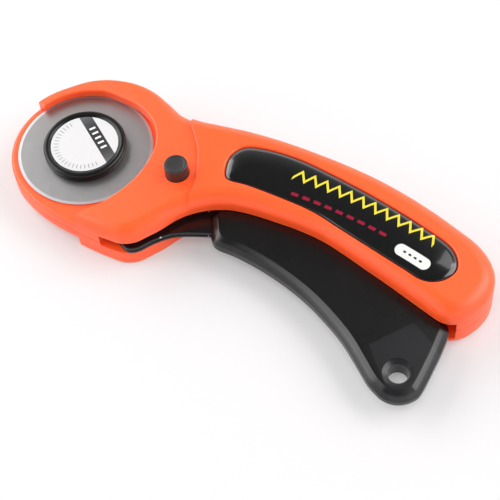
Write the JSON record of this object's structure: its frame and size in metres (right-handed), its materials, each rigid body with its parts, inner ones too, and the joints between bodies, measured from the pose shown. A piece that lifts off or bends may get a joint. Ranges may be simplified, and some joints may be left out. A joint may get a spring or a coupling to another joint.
{
  "type": "rotary cutter",
  "caption": "Squeeze-handled rotary cutter: a round blade on a pivoting trigger between two moulded shells, with a cross-lock button and a hole to hang it by.",
  "frame": {"origin": "middle of the footprint, on the plane that the rear face rests on", "axes": "+X along the handle away from the blade, +Y towards the back of the hand, +Z from the rear face to the blade side"},
  "size_m": [0.167, 0.0745, 0.0225],
  "materials": {
    "shell_plastic": "satin moulded ABS, fine even texture",
    "label_gloss": "glossy domed resin over a black print",
    "screw_steel": "zinc plated",
    "pin_steel": "ground",
    "bush_plastic": "natural acetal",
    "spring_steel": "bright spring steel",
    "lever_black": "black glass-filled nylon, polished face",
    "grip_black": "black moulded grip, satin",
    "button_black": "black acetal",
    "ring_rubber": "nitrile rubber",
    "blade_steel": "ground tool steel with a bright bevel",
    "cap_black": "black moulded, semi-gloss",
    "label_white": "printed vinyl disc",
    "nut_steel": "nickel plated"
  },
  "bodies": {
    "housing": {"front_shell": "shell_plastic", "rear_shell": "shell_plastic", "handle_label": "label_gloss", "shell_screws": "screw_steel", "pivot_pin": "pin_steel", "return_spring": "spring_steel", "lock_retainer": "spring_steel"},
    "trigger": {"lever_plate": "lever_black", "trigger_grip": "grip_black", "pivot_bush": "bush_plastic", "spindle_bolt": "nut_steel", "bolt_cap": "cap_black", "cap_label": "label_white", "blade_washer": "cap_black", "wave_washer": "spring_steel", "flat_washer": "nut_steel", "spindle_nut": "nut_steel"},
    "blade": {"blade": "blade_steel"},
    "lock": {"lock_button": "button_black", "lock_ring": "ring_rubber"}
  },
  "joints": [
    {"name": "trigger_squeeze", "type": "hinge", "parent": "housing", "child": "trigger", "pos_m": [-0.033, -0.0105, 0.0082], "axis": [0, 0, 1], "range_deg": [0, 11], "stiffness_Nm_per_rad": 0.6, "springref_deg": -20.05, "deforming": ["return_spring"]},
    {"name": "blade_spin", "type": "hinge", "parent": "trigger", "child": "blade", "pos_m": [-0.0585, 0.0085, 0.01225], "axis": [0, 0, 1], "continuous": true},
    {"name": "lock_slide", "type": "slide", "parent": "housing", "child": "lock", "axis": [0, 0, -1], "range_m": [0, 0.004]}
  ]
}
